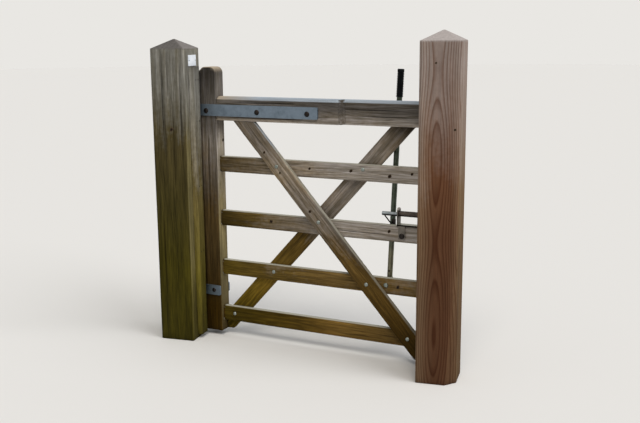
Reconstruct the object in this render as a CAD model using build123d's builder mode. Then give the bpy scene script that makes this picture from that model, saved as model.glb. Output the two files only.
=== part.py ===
"""A timber bridle gate: two square posts, a braced leaf with five rails, strap hinges and a long lever latch.

Millimetres. The origin is the centre of the hanging post's foot, at ground level. +X runs along the shut
leaf to the shutting post, +Y is the side that the leaf opens to, and +Z is up. Both posts stand turned a
little about Z against the leaf, so what is fixed to a post is drawn in that post's own plane, with u
across the gateway and v through it.
"""

import os
from math import atan2, degrees, hypot, radians, tan

from build123d import *

os.makedirs("parts", exist_ok=True)

# Posts
POST_SIDE = 175.0
POST_TURN = 9.0
POST_ARRIS = 3.0
HANGING_SHOULDER = 1450.0
SHUTTING_SHOULDER = 1483.0
PYRAMID_RISE = 44.0
PYRAMID_TIP = 6.0
SHUTTING_POST_LAP = 27.5
SHUTTING_POST_BEFORE_LEAF = 37.5
WANE_HEIGHT = 620.0
WANE_WIDTH = 46.0

# Closing batten and blank marker plate on the hanging post's gateway face
BATTEN_WIDTH = 63.0
BATTEN_THICK = 27.5
BATTEN_SETBACK = 51.0
BATTEN_DROP = 87.0
BATTEN_FOOT = 20.0
MARKER_WIDTH = 84.0
MARKER_HEIGHT = 52.0
MARKER_THICK = 3.0
MARKER_SETBACK = 50.0
MARKER_DROP = 32.0

# Leaf: a rail layer, with a brace layer before it and another behind it
HINGE_INSIDE_POST = 5.5
HINGE_BEHIND_POST = 31.5
HINGE_BEHIND_LEAF = 20.5
BOARD_THICK = 25.0
STILE_THICK = 3 * BOARD_THICK
HEEL_WIDTH = 89.0
HEAD_WIDTH = 75.0
STILE_FOOT = 25.0
HEEL_ABOVE_TOP_RAIL = 142.0
HEAD_ABOVE_TOP_RAIL = 30.0
STILE_ROUND = 30.0
STILE_ARRIS = 2.5
LEAF_WIDTH = 1212.0
HEEL_GAP = 16.0
RAIL_HEIGHT = 78.0
RAIL_ARRIS = 2.0
RAIL_2_CENTRE = 885.0
RAIL_3_CENTRE = 613.0
RAIL_4_CENTRE = 360.0
BOTTOM_RAIL_CENTRE = 118.0
TENON_SHOULDER = 9.0
TOP_TENON_SHOULDER = 20.0
TOP_RAIL_UNDERSIDE = 1102.5
TOP_RAIL_HEIGHT = 115.5
WEATHERING_DROP = 13.0
WEATHERING_WIDTH = 18.0
SHOULDER_FROM_HEAD = 392.0
BRACE_WIDTH = 84.0
BRACE_FOOT = 30.0
FRONT_BRACE_FROM_HEEL = 154.0
FRONT_BRACE_FOOT_RISE = 57.5
REAR_BRACE_FROM_HEAD = 95.0
REAR_BRACE_FOOT_RISE = 26.0

# Hinges
PIN_RADIUS = 8.0
PIN_CLEARANCE = 0.05
EYE_RADIUS = 15.5
STRAP_THICK = 8.0
STRAP_HEIGHT = 56.0
STRAP_ABOVE_UNDERSIDE = 21.5
STRAP_LENGTH = 644.0
STRAP_TIP_ROUND = 7.0
BAND_HEIGHT = 50.0
BAND_ABOVE_RAIL = 58.0
EYE_SEAT = 0.3
HOOK_HEIGHT = 60.0
HOOK_PLATE_THICK = 10.0
HOOK_PLATE_LENGTH = 130.0
HOOK_BOSS_RADIUS = 11.0
PIN_PROUD = 12.0

# Latch on the leaf
BOLT_RADIUS = 12.5
BOLT_TAIL_RADIUS = 9.5
BOLT_TAIL_DROP = 4.0
BOLT_CLEARANCE = 0.5
BOLT_ABOVE_RAIL = 54.5
BOLT_TAIL_FROM_HEAD = 186.0
BOLT_STEP_FROM_HEAD = 111.0
BOLT_THROW = 32.0
BOLT_NOSE_BEVEL = 4.0
NOSE_PAST_HEAD = 36.0
LINK_ROD_RADIUS = 3.0
LINK_PLATE_THICK = 6.0
LINK_WALL = 6.0
LINK_BEHIND_RAIL = 6.0
LATCH_PLATE = 6.0
LATCH_PLATE_FROM_HEAD = 109.0
LATCH_PLATE_OVERHANG = 6.0
LATCH_GUIDE_ABOVE_BOLT = 28.0
LATCH_TAB_FROM_HEAD = 101.0
LATCH_TAB_WIDTH = 32.0
LATCH_TAB_DROP = 60.0

# Lever behind the leaf
LEVER_STANDOFF = 8.0
LEVER_RADIUS = 12.5
LEVER_LEAN = 1.86
LEVER_BACK_LEAN = 2.36
LEVER_PIVOT_FROM_HEAD = 162.2
LEVER_PIVOT_BELOW_RAIL_TOP = 35.0
LEVER_ABOVE_TOP_RAIL = 138.0
LEVER_FOOT_DROP = 34.0
LEVER_BAR_RISE = 15.0
LEVER_LUG_WIDTH = 29.0
PIVOT_RADIUS = 6.0
PIVOT_HEAD_RADIUS = 11.0
PIVOT_HEAD_THICK = 5.0
PIVOT_SPACER_RADIUS = 11.0
PIVOT_NUT_RADIUS = 10.0
PIVOT_NUT_THICK = 8.0
GRIP_LENGTH = 126.0
GRIP_RADIUS = 15.5
GRIP_GROOVES = 10
GRIP_GROOVE_DEPTH = 1.6
GRIP_GROOVE_WIDTH = 4.5
GRIP_CAP = 4.0
STUD_RADIUS = 5.0
STUD_BELOW_RAIL_TOP = 22.0
STUD_SIDE = 12.0
STUD_PROUD = 2.0
STUD_BLOCK_WIDTH = 16.0
STUD_BLOCK_THICK = 12.0
STUD_BLOCK_DROP = 10.0
STUD_BLOCK_RISE = 42.0
STUD_SLOT_SIDE = 0.5
STUD_SLOT_DROP = 3.0

# Keeper on the shutting post
KEEPER_PLATE = 6.0
KEEPER_WIDTH = 80.0
KEEPER_HEIGHT = 110.0
KEEPER_BAR = 10.0
KEEPER_STAPLE_BEFORE_NOSE = 15.0
KEEPER_STAPLE_WIDTH = 14.0
KEEPER_CLEARANCE = 4.0

# Values worked out from the ones above
HALF_SIDE = POST_SIDE / 2
HINGE_X = HALF_SIDE - HINGE_INSIDE_POST
HINGE_Y = HALF_SIDE + HINGE_BEHIND_POST
LEAF_MIDDLE = HINGE_Y - HINGE_BEHIND_LEAF
LEAF_FRONT = LEAF_MIDDLE - STILE_THICK / 2
RAIL_FRONT = LEAF_FRONT + BOARD_THICK
RAIL_BACK = RAIL_FRONT + BOARD_THICK
LEAF_BACK = LEAF_FRONT + STILE_THICK
HEEL_LEFT = HINGE_X + HEEL_GAP
HEEL_RIGHT = HEEL_LEFT + HEEL_WIDTH
HEAD_RIGHT = HEEL_LEFT + LEAF_WIDTH
HEAD_LEFT = HEAD_RIGHT - HEAD_WIDTH
SHUTTING_POST_X = HEAD_RIGHT + HALF_SIDE - SHUTTING_POST_LAP
SHUTTING_POST_Y = LEAF_MIDDLE - HALF_SIDE - SHUTTING_POST_BEFORE_LEAF
TOP_RAIL_TOP = TOP_RAIL_UNDERSIDE + TOP_RAIL_HEIGHT
RAIL_3_TOP = RAIL_3_CENTRE + RAIL_HEIGHT / 2
RAIL_4_TOP = RAIL_4_CENTRE + RAIL_HEIGHT / 2
BOTTOM_RAIL_TOP = BOTTOM_RAIL_CENTRE + RAIL_HEIGHT / 2
HEEL_TOP = TOP_RAIL_TOP + HEEL_ABOVE_TOP_RAIL
HEAD_TOP = TOP_RAIL_TOP + HEAD_ABOVE_TOP_RAIL
STRAP_BOTTOM = TOP_RAIL_UNDERSIDE + STRAP_ABOVE_UNDERSIDE
BAND_BOTTOM = BOTTOM_RAIL_TOP + BAND_ABOVE_RAIL
LATCH_PLATE_X = HEAD_LEFT - LATCH_PLATE_FROM_HEAD
LEVER_PIVOT_X = HEAD_LEFT - LEVER_PIVOT_FROM_HEAD
BOLT_TAIL_X = HEAD_LEFT - BOLT_TAIL_FROM_HEAD
BOLT_STEP_X = HEAD_LEFT - BOLT_STEP_FROM_HEAD
BOLT_Z = RAIL_3_TOP + BOLT_ABOVE_RAIL
LEVER_Y = RAIL_BACK + LEVER_STANDOFF + LEVER_RADIUS
LEVER_PIVOT_Z = RAIL_4_TOP - LEVER_PIVOT_BELOW_RAIL_TOP
STUD_Z = RAIL_3_TOP - STUD_BELOW_RAIL_TOP
STUD_X = LEVER_PIVOT_X + (STUD_Z - LEVER_PIVOT_Z) * tan(radians(LEVER_LEAN)) + STUD_SIDE
LINK_FRONT = RAIL_BACK + LINK_BEHIND_RAIL

hanging_plane = Plane.XY.rotated((0, 0, POST_TURN))
shutting_plane = Plane(
    origin=(SHUTTING_POST_X, SHUTTING_POST_Y, 0), x_dir=hanging_plane.x_dir, z_dir=(0, 0, 1)
)
lever_plane = Plane(
    origin=(LEVER_PIVOT_X, LEVER_Y, LEVER_PIVOT_Z),
    z_dir=(tan(radians(LEVER_LEAN)), tan(radians(LEVER_BACK_LEAN)), 1),
)


def in_post(plane, u, v, z):
    """A point given across, through and up a post, in the gate's own frame."""
    return plane.from_local_coords((u, v, z))


def raised(plane, z):
    """A post's plane lifted to a height."""
    return Plane(origin=plane.origin + Vector(0, 0, z), x_dir=plane.x_dir, z_dir=(0, 0, 1))


def facing_front(y):
    """A plane parallel to the leaf, with x to the right and y up; extruding by a minus goes to +Y."""
    return Plane.XZ.offset(-y)


def save(part, label):
    part.label = label
    export_step(part, f"parts/{label}.step")


def square_post(plane, shoulder):
    """A post of square timber with eased arrises and a four-way weathered top."""
    with BuildPart() as post:
        with BuildSketch(plane):
            Rectangle(POST_SIDE, POST_SIDE)
            chamfer(vertices(), POST_ARRIS)
        extrude(amount=shoulder)
        with BuildSketch(raised(plane, shoulder)):
            Rectangle(POST_SIDE, POST_SIDE)
            chamfer(vertices(), POST_ARRIS)
        with BuildSketch(raised(plane, shoulder + PYRAMID_RISE)):
            Rectangle(PYRAMID_TIP, PYRAMID_TIP)
            chamfer(vertices(), PYRAMID_TIP * POST_ARRIS / POST_SIDE)
        loft()
    return post


# Posts. The shutting post keeps a strip of wane at the foot of its front right corner.
hanging_post = square_post(hanging_plane, HANGING_SHOULDER)
save(hanging_post.part, "hanging_post")

wane_top = in_post(shutting_plane, HALF_SIDE, -HALF_SIDE, WANE_HEIGHT)
wane_left = in_post(shutting_plane, HALF_SIDE - WANE_WIDTH, -HALF_SIDE, 0)
wane_right = in_post(shutting_plane, HALF_SIDE, WANE_WIDTH - HALF_SIDE, 0)
wane_normal = (wane_right - wane_top).cross(wane_left - wane_top)
with BuildPart() as shutting_post:
    add(square_post(shutting_plane, SHUTTING_SHOULDER).part)
    split(bisect_by=Plane(origin=wane_top, z_dir=wane_normal), keep=Keep.TOP)
save(shutting_post.part, "shutting_post")

# Closing batten, which covers the gap at the heel of the leaf
batten_top = HANGING_SHOULDER - BATTEN_DROP
batten_v = BATTEN_SETBACK - HALF_SIDE + BATTEN_WIDTH / 2
with BuildPart() as closing_batten:
    with BuildSketch(raised(hanging_plane, BATTEN_FOOT)):
        with Locations((HALF_SIDE + BATTEN_THICK / 2, batten_v)):
            Rectangle(BATTEN_THICK, BATTEN_WIDTH)
    extrude(amount=batten_top - BATTEN_FOOT)
save(closing_batten.part, "closing_batten")

marker_v = MARKER_SETBACK - HALF_SIDE + MARKER_WIDTH / 2
with BuildPart() as marker_plate:
    with BuildSketch(raised(hanging_plane, HANGING_SHOULDER - MARKER_DROP - MARKER_HEIGHT)):
        with Locations((HALF_SIDE + MARKER_THICK / 2, marker_v)):
            Rectangle(MARKER_THICK, MARKER_WIDTH)
    extrude(amount=MARKER_HEIGHT)
save(marker_plate.part, "marker_plate")


def pin_hook(plate_top, eye_height):
    """A plate on the back of the hanging post that carries an upright pin beside it."""
    pin = hanging_plane.to_local_coords(Vector(HINGE_X, HINGE_Y, 0))
    plate_bottom = plate_top - HOOK_HEIGHT
    with BuildPart() as hook:
        with BuildSketch(raised(hanging_plane, plate_bottom)):
            with Locations((pin.X - HOOK_PLATE_LENGTH / 2, HALF_SIDE + HOOK_PLATE_THICK / 2)):
                Rectangle(HOOK_PLATE_LENGTH, HOOK_PLATE_THICK)
            with Locations((pin.X, pin.Y)):
                Circle(HOOK_BOSS_RADIUS)
        extrude(amount=HOOK_HEIGHT)
        with BuildSketch(raised(hanging_plane, plate_bottom)):
            with Locations((pin.X, pin.Y)):
                Circle(PIN_RADIUS)
        extrude(amount=HOOK_HEIGHT + EYE_SEAT + eye_height + PIN_PROUD)
        chamfer(hook.faces().sort_by(Axis.Z)[-1].edges(), PIN_RADIUS / 4)
    return hook


top_hook = pin_hook(STRAP_BOTTOM - EYE_SEAT, STRAP_HEIGHT)
save(top_hook.part, "top_hook")
bottom_hook = pin_hook(BAND_BOTTOM - EYE_SEAT, BAND_HEIGHT)
save(bottom_hook.part, "bottom_hook")


plain_rails = {
    "rail_2": RAIL_2_CENTRE,
    "rail_3": RAIL_3_CENTRE,
    "rail_4": RAIL_4_CENTRE,
    "bottom_rail": BOTTOM_RAIL_CENTRE,
}
tenon_height = RAIL_HEIGHT - 2 * TENON_SHOULDER
top_tenon_height = TOP_RAIL_HEIGHT - 2 * TOP_TENON_SHOULDER
top_tenon_centre = (TOP_RAIL_UNDERSIDE + TOP_RAIL_TOP) / 2


def stile(left, width, top):
    """An upright of the leaf with a rounded top, mortised right through for the rails' tenons."""
    middle = left + width / 2
    with BuildPart() as upright:
        with BuildSketch(facing_front(LEAF_FRONT)):
            with Locations((middle, (STILE_FOOT + top) / 2)):
                Rectangle(width, top - STILE_FOOT)
            fillet(vertices().group_by(Axis.Y)[-1], STILE_ROUND)
        extrude(amount=-STILE_THICK)
        chamfer(upright.edges().filter_by(Axis.Z), STILE_ARRIS)
        with BuildSketch(facing_front(RAIL_FRONT)):
            with Locations(*[(middle, centre) for centre in plain_rails.values()]):
                Rectangle(width, tenon_height)
            with Locations((middle, top_tenon_centre)):
                Rectangle(width, top_tenon_height)
        extrude(amount=-BOARD_THICK, mode=Mode.SUBTRACT)
    return upright


hanging_stile = stile(HEEL_LEFT, HEEL_WIDTH, HEEL_TOP)
save(hanging_stile.part, "hanging_stile")

with BuildPart() as shutting_stile:
    add(stile(HEAD_LEFT, HEAD_WIDTH, HEAD_TOP).part)
    with BuildSketch(Plane.YZ.offset(HEAD_LEFT)):
        with Locations((LEAF_MIDDLE, BOLT_Z)):
            Circle(BOLT_RADIUS + BOLT_CLEARANCE)
    extrude(amount=HEAD_WIDTH, mode=Mode.SUBTRACT)
save(shutting_stile.part, "shutting_stile")

# Top rail, full thickness from the heel to a splayed shoulder and thinner from there to the head
shoulder_start = HEAD_LEFT - SHOULDER_FROM_HEAD
shoulder_end = shoulder_start + BOARD_THICK
leaf_centre = (HEEL_LEFT + HEAD_RIGHT) / 2
clear_centre = (HEEL_RIGHT + HEAD_LEFT) / 2
with BuildPart() as top_rail:
    with BuildSketch(Plane.XY.offset(TOP_RAIL_UNDERSIDE)):
        with BuildLine():
            Polyline(
                (HEEL_RIGHT, LEAF_FRONT),
                (shoulder_start, LEAF_FRONT),
                (shoulder_end, RAIL_FRONT),
                (HEAD_LEFT, RAIL_FRONT),
                (HEAD_LEFT, LEAF_BACK),
                (HEEL_RIGHT, LEAF_BACK),
                close=True,
            )
        make_face()
    extrude(amount=TOP_RAIL_HEIGHT)
    upper_face = top_rail.faces().sort_by(Axis.Z)[-1]
    long_edges = upper_face.edges().filter_by(Axis.Y, reverse=True)
    chamfer(long_edges, length=WEATHERING_WIDTH, length2=WEATHERING_DROP, reference=upper_face)
    with BuildSketch(facing_front(RAIL_FRONT)):
        with Locations((leaf_centre, top_tenon_centre)):
            Rectangle(LEAF_WIDTH, top_tenon_height)
    extrude(amount=-BOARD_THICK)
save(top_rail.part, "top_rail")

# The four plain rails, in the middle of the leaf's thickness, tenoned through both stiles
for rail_name, rail_centre in plain_rails.items():
    with BuildPart() as plain_rail:
        with BuildSketch(facing_front(RAIL_FRONT)):
            with Locations((clear_centre, rail_centre)):
                Rectangle(HEAD_LEFT - HEEL_RIGHT, RAIL_HEIGHT)
        extrude(amount=-BOARD_THICK)
        chamfer(plain_rail.edges().filter_by(Axis.X), RAIL_ARRIS)
        with BuildSketch(facing_front(RAIL_FRONT)):
            with Locations((leaf_centre, rail_centre)):
                Rectangle(LEAF_WIDTH, tenon_height)
        extrude(amount=-BOARD_THICK)
        if rail_name == "rail_4":
            with BuildSketch(facing_front(RAIL_FRONT)):
                with Locations((LEVER_PIVOT_X, LEVER_PIVOT_Z)):
                    Circle(PIVOT_RADIUS)
            extrude(amount=-BOARD_THICK, mode=Mode.SUBTRACT)
    save(plain_rail.part, rail_name)


def brace(high, low, front):
    """A straight board on a line through two points, cut off at the stiles, the top rail and the foot."""
    run, fall = high[0] - low[0], high[1] - low[1]
    length = hypot(run, fall)
    slope = degrees(atan2(fall, run))
    middle = ((high[0] + low[0]) / 2, (high[1] + low[1]) / 2)
    with BuildPart() as board:
        with BuildSketch(facing_front(front)):
            with Locations(Location((*middle, 0), (0, 0, slope))):
                Rectangle(2 * length, BRACE_WIDTH)
            clear_height = TOP_RAIL_UNDERSIDE - BRACE_FOOT
            with Locations((clear_centre, BRACE_FOOT + clear_height / 2)):
                Rectangle(HEAD_LEFT - HEEL_RIGHT, clear_height, mode=Mode.INTERSECT)
        extrude(amount=-BOARD_THICK)
    return board


front_brace = brace(
    (HEEL_RIGHT + FRONT_BRACE_FROM_HEEL, TOP_RAIL_UNDERSIDE),
    (HEAD_LEFT, STILE_FOOT + FRONT_BRACE_FOOT_RISE),
    LEAF_FRONT,
)
save(front_brace.part, "front_brace")
rear_brace = brace(
    (HEAD_LEFT - REAR_BRACE_FROM_HEAD, TOP_RAIL_UNDERSIDE),
    (HEEL_RIGHT, STILE_FOOT + REAR_BRACE_FOOT_RISE),
    RAIL_BACK,
)
save(rear_brace.part, "rear_brace")


def heel_strap(bottom, height, tip):
    """A strap bent round the heel of the leaf, with an eye for the hook's pin."""
    with BuildPart() as strap:
        with BuildSketch(Plane.XY.offset(bottom)) as plan:
            wide = STILE_THICK + 2 * STRAP_THICK
            with Locations(((HEEL_LEFT - STRAP_THICK + tip) / 2, LEAF_MIDDLE)):
                Rectangle(tip - HEEL_LEFT + STRAP_THICK, wide)
            fillet(plan.vertices().group_by(Axis.X)[0], STRAP_THICK)
            with Locations((HINGE_X, HINGE_Y)):
                Circle(EYE_RADIUS)
            with Locations(((HEEL_LEFT + tip) / 2, LEAF_MIDDLE)):
                Rectangle(tip - HEEL_LEFT, STILE_THICK, mode=Mode.SUBTRACT)
            with Locations((HINGE_X, HINGE_Y)):
                Circle(PIN_RADIUS + PIN_CLEARANCE, mode=Mode.SUBTRACT)
        extrude(amount=height)
        tip_edges = strap.edges().filter_by(Axis.Y).group_by(Axis.X)[-1]
        fillet(tip_edges, STRAP_TIP_ROUND)
    return strap


top_strap = heel_strap(STRAP_BOTTOM, STRAP_HEIGHT, HEEL_LEFT + STRAP_LENGTH)
save(top_strap.part, "top_strap")
bottom_band = heel_strap(BAND_BOTTOM, BAND_HEIGHT, HEEL_RIGHT)
save(bottom_band.part, "bottom_band")

# Latch bracket: a bent plate saddled on rail 3, with a guide for the bolt and a tab on the rail's face
bracket_front = RAIL_FRONT - LATCH_PLATE_OVERHANG
bracket_depth = BOARD_THICK + 2 * LATCH_PLATE_OVERHANG
guide_top = BOLT_Z + LATCH_GUIDE_ABOVE_BOLT
tab_middle = HEAD_LEFT - LATCH_TAB_FROM_HEAD + LATCH_TAB_WIDTH / 2
with BuildPart() as latch_bracket:
    with BuildSketch(Plane.XY.offset(RAIL_3_TOP)):
        with Locations(((LATCH_PLATE_X + HEAD_LEFT) / 2, LEAF_MIDDLE)):
            Rectangle(HEAD_LEFT - LATCH_PLATE_X, bracket_depth)
    extrude(amount=LATCH_PLATE)
    with BuildSketch(Plane.YZ.offset(LATCH_PLATE_X)):
        with Locations((LEAF_MIDDLE, (RAIL_3_TOP + guide_top) / 2)):
            Rectangle(bracket_depth, guide_top - RAIL_3_TOP)
        fillet(vertices().group_by(Axis.Y)[-1], bracket_depth / 2.5)
        with Locations((LEAF_MIDDLE, BOLT_Z)):
            Circle(BOLT_RADIUS + BOLT_CLEARANCE, mode=Mode.SUBTRACT)
    extrude(amount=LATCH_PLATE)
    with BuildSketch(facing_front(bracket_front)):
        with Locations((tab_middle, RAIL_3_TOP - LATCH_TAB_DROP / 2)):
            Rectangle(LATCH_TAB_WIDTH, LATCH_TAB_DROP)
    extrude(amount=-LATCH_PLATE_OVERHANG)
save(latch_bracket.part, "latch_bracket")

# Pivot bolt: through rail 4, a spacer and the lever's foot, with a nut behind
lever_front = LEVER_Y - LEVER_RADIUS
nut_front = LEVER_Y + LEVER_RADIUS + EYE_SEAT
with BuildPart() as pivot_bolt:
    with BuildSketch(facing_front(RAIL_FRONT)):
        with Locations((LEVER_PIVOT_X, LEVER_PIVOT_Z)):
            Circle(PIVOT_HEAD_RADIUS)
    extrude(amount=PIVOT_HEAD_THICK)
    fillet(pivot_bolt.faces().sort_by(Axis.Y)[0].edges(), PIVOT_HEAD_THICK - 1)
    with BuildSketch(facing_front(RAIL_FRONT)):
        with Locations((LEVER_PIVOT_X, LEVER_PIVOT_Z)):
            Circle(PIVOT_RADIUS)
    extrude(amount=-(nut_front + PIVOT_NUT_THICK - RAIL_FRONT))
    with BuildSketch(facing_front(RAIL_BACK)):
        with Locations((LEVER_PIVOT_X, LEVER_PIVOT_Z)):
            Circle(PIVOT_SPACER_RADIUS)
    extrude(amount=-(lever_front - EYE_SEAT - RAIL_BACK))
    with BuildSketch(facing_front(nut_front)):
        with Locations((LEVER_PIVOT_X, LEVER_PIVOT_Z)):
            RegularPolygon(PIVOT_NUT_RADIUS, 6)
    extrude(amount=-PIVOT_NUT_THICK)
save(pivot_bolt.part, "pivot_bolt")

# Lever: a round bar that leans to the post and back past the rear brace, with a flat-sided foot
lever_top = TOP_RAIL_TOP + LEVER_ABOVE_TOP_RAIL
lever_length = (lever_top - LEVER_PIVOT_Z) / lever_plane.z_dir.Z - GRIP_CAP
with BuildPart() as lever_bar:
    with BuildSketch(lever_plane.offset(LEVER_BAR_RISE)):
        Circle(LEVER_RADIUS)
    extrude(amount=lever_length - LEVER_BAR_RISE)
    with BuildSketch(facing_front(lever_front)):
        with Locations((LEVER_PIVOT_X, LEVER_PIVOT_Z)):
            SlotOverall(2 * LEVER_FOOT_DROP, LEVER_LUG_WIDTH, rotation=90)
    extrude(amount=-2 * LEVER_RADIUS)
    with BuildSketch(facing_front(lever_front)):
        with Locations((LEVER_PIVOT_X, LEVER_PIVOT_Z)):
            Circle(PIVOT_RADIUS + PIN_CLEARANCE)
    extrude(amount=-2 * LEVER_RADIUS, mode=Mode.SUBTRACT)
save(lever_bar.part, "lever_bar")

# Rubber grip: a sleeve closed at the top, with a groove between each pair of ribs
grip_foot = lever_length + GRIP_CAP - GRIP_LENGTH
groove_pitch = (GRIP_LENGTH - GRIP_CAP) / (GRIP_GROOVES + 1)
with BuildPart() as lever_grip:
    with BuildSketch(lever_plane.offset(grip_foot)):
        Circle(GRIP_RADIUS)
    extrude(amount=GRIP_LENGTH)
    fillet(lever_grip.edges().filter_by(GeomType.CIRCLE).sort_by(Axis.Z)[-1], GRIP_CAP)
    for groove in range(GRIP_GROOVES):
        with BuildSketch(lever_plane.offset(grip_foot + groove_pitch * (groove + 1) - GRIP_GROOVE_WIDTH)):
            Circle(GRIP_RADIUS)
            Circle(GRIP_RADIUS - GRIP_GROOVE_DEPTH, mode=Mode.SUBTRACT)
        extrude(amount=GRIP_GROOVE_WIDTH, mode=Mode.SUBTRACT)
    with BuildSketch(lever_plane.offset(grip_foot)):
        Circle(LEVER_RADIUS)
    extrude(amount=GRIP_LENGTH - GRIP_CAP, mode=Mode.SUBTRACT)
save(lever_grip.part, "lever_grip")

# Drive stud: on a block welded to the lever's side, forward through the slot in the bolt's link
block_front = LINK_FRONT + LINK_PLATE_THICK + EYE_SEAT
block_height = STUD_BLOCK_RISE + STUD_BLOCK_DROP
with BuildPart() as drive_stud:
    with BuildSketch(facing_front(block_front)):
        with Locations((STUD_X, STUD_Z + (STUD_BLOCK_RISE - STUD_BLOCK_DROP) / 2)):
            Rectangle(STUD_BLOCK_WIDTH, block_height)
    extrude(amount=-STUD_BLOCK_THICK)
    with BuildSketch(lever_plane):
        Circle(LEVER_RADIUS)
    extrude(amount=lever_length, mode=Mode.SUBTRACT)
    with BuildSketch(facing_front(block_front)):
        with Locations((STUD_X, STUD_Z)):
            Circle(STUD_RADIUS)
    extrude(amount=LINK_PLATE_THICK + EYE_SEAT + STUD_PROUD)
save(drive_stud.part, "drive_stud")

# Latch bolt: a round bar with a thinner tail, and a rod down behind rail 3 to the slotted link
nose_x = HEAD_RIGHT + NOSE_PAST_HEAD
tail_z = BOLT_Z - BOLT_TAIL_DROP
slot_width = 2 * (STUD_RADIUS + STUD_SLOT_SIDE)
slot_height = slot_width + STUD_SLOT_DROP
rod_start = Vector(BOLT_TAIL_X + LINK_ROD_RADIUS, LEAF_MIDDLE, tail_z)
rod_end = Vector(STUD_X, LINK_FRONT + LINK_PLATE_THICK / 2, STUD_Z + (slot_height + LINK_WALL) / 2)
with BuildPart() as latch_bolt:
    with BuildSketch(Plane.YZ.offset(BOLT_TAIL_X)):
        with Locations((LEAF_MIDDLE, tail_z)):
            Circle(BOLT_TAIL_RADIUS)
    extrude(amount=BOLT_STEP_X - BOLT_TAIL_X)
    with BuildSketch(Plane.YZ.offset(BOLT_STEP_X)):
        with Locations((LEAF_MIDDLE, BOLT_Z)):
            Circle(BOLT_RADIUS)
    extrude(amount=nose_x - BOLT_STEP_X)
    chamfer(latch_bolt.faces().sort_by(Axis.X)[-1].edges(), BOLT_NOSE_BEVEL)
    with BuildSketch(Plane(origin=rod_start, z_dir=rod_end - rod_start)):
        Circle(LINK_ROD_RADIUS)
    extrude(amount=(rod_end - rod_start).length)
    with BuildSketch(facing_front(LINK_FRONT)):
        with Locations((STUD_X, STUD_Z)):
            SlotOverall(slot_height + 2 * LINK_WALL, slot_width + 2 * LINK_WALL, rotation=90)
    extrude(amount=-LINK_PLATE_THICK)
    with BuildSketch(facing_front(LINK_FRONT)):
        with Locations((STUD_X, STUD_Z)):
            SlotOverall(slot_height, slot_width, rotation=90)
    extrude(amount=-LINK_PLATE_THICK, mode=Mode.SUBTRACT)
save(latch_bolt.part, "latch_bolt")

# Keeper: a plate on the back of the shutting post with a staple round the bolt's nose
nose = shutting_plane.to_local_coords(Vector(nose_x, LEAF_MIDDLE, 0))
staple_inner = BOLT_RADIUS + KEEPER_CLEARANCE
staple_reach = nose.Y + staple_inner
staple_u = nose.X - KEEPER_STAPLE_BEFORE_NOSE
with BuildPart() as latch_keeper:
    with BuildSketch(raised(shutting_plane, BOLT_Z - KEEPER_HEIGHT / 2)):
        with Locations((nose.X, HALF_SIDE + KEEPER_PLATE / 2)):
            Rectangle(KEEPER_WIDTH, KEEPER_PLATE)
    extrude(amount=KEEPER_HEIGHT)
    with BuildSketch(raised(shutting_plane, BOLT_Z - staple_inner - KEEPER_BAR)):
        with Locations((staple_u, (HALF_SIDE + staple_reach + KEEPER_BAR) / 2)):
            Rectangle(KEEPER_STAPLE_WIDTH, staple_reach + KEEPER_BAR - HALF_SIDE)
    extrude(amount=2 * (staple_inner + KEEPER_BAR))
    with BuildSketch(raised(shutting_plane, BOLT_Z - staple_inner)):
        with Locations((staple_u, (HALF_SIDE + KEEPER_PLATE + staple_reach) / 2)):
            Rectangle(KEEPER_STAPLE_WIDTH, staple_reach - HALF_SIDE - KEEPER_PLATE)
    extrude(amount=2 * staple_inner, mode=Mode.SUBTRACT)
save(latch_keeper.part, "latch_keeper")

print("hinge axis", HINGE_X, HINGE_Y)
print("lever pivot", LEVER_PIVOT_X, LEVER_Y, LEVER_PIVOT_Z)
print("bolt axis height", BOLT_Z, "stud radius from pivot", STUD_Z - LEVER_PIVOT_Z)
print("lever swing", round(degrees(BOLT_THROW / (STUD_Z - LEVER_PIVOT_Z)), 2), "degrees")
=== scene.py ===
# %% [markdown]
# # A timber bridle gate
#
# This lesson dresses a CAD model of a bridle gate: two square posts, a braced leaf, a long strap hinge and
# a tall lever that draws the latch bolt. All of it could be modelled here by eye. But the CAD part says
# where everything is and how it moves, so pieces are placed from its boxes and from measures.

# %% Load the frame
from math import cos, exp, pi, radians, sin, tau
from types import SimpleNamespace

import bmesh
import bpy
from mathutils import Matrix, Vector, noise


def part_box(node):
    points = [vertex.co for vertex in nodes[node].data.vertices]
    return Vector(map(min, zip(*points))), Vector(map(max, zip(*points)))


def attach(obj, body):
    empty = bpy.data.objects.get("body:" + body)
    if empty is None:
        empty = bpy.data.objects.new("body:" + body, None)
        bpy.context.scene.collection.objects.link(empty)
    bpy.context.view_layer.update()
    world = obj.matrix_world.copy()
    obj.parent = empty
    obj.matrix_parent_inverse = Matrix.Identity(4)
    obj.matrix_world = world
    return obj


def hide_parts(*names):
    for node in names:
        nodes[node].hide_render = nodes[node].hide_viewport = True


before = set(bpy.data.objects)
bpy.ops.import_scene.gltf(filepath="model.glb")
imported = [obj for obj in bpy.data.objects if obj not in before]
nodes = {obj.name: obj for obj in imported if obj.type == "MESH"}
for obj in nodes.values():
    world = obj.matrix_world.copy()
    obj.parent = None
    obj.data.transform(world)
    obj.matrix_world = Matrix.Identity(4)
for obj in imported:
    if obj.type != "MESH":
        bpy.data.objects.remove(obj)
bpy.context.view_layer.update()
scene = bpy.context.scene
MM = 0.001

# %% [markdown]
# ## The camera
#
# The person who took the picture stood to the right of the gate and looked down a little. A camera could be
# dragged about until the render looks right. This one's lens, place and turn come from the straight edges
# of the gate, so whatever is off in the render is off in the model.

# %% Place the camera
IMAGE_WIDTH = 640
FOCAL_PIXELS = 899.2
SENSOR_MM = 36.0
STAND = Vector((2.5582, -3.6777, 1.5161))
YAW, PITCH, ROLL = (radians(angle) for angle in (-25.841, 11.217, -0.444))

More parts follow.
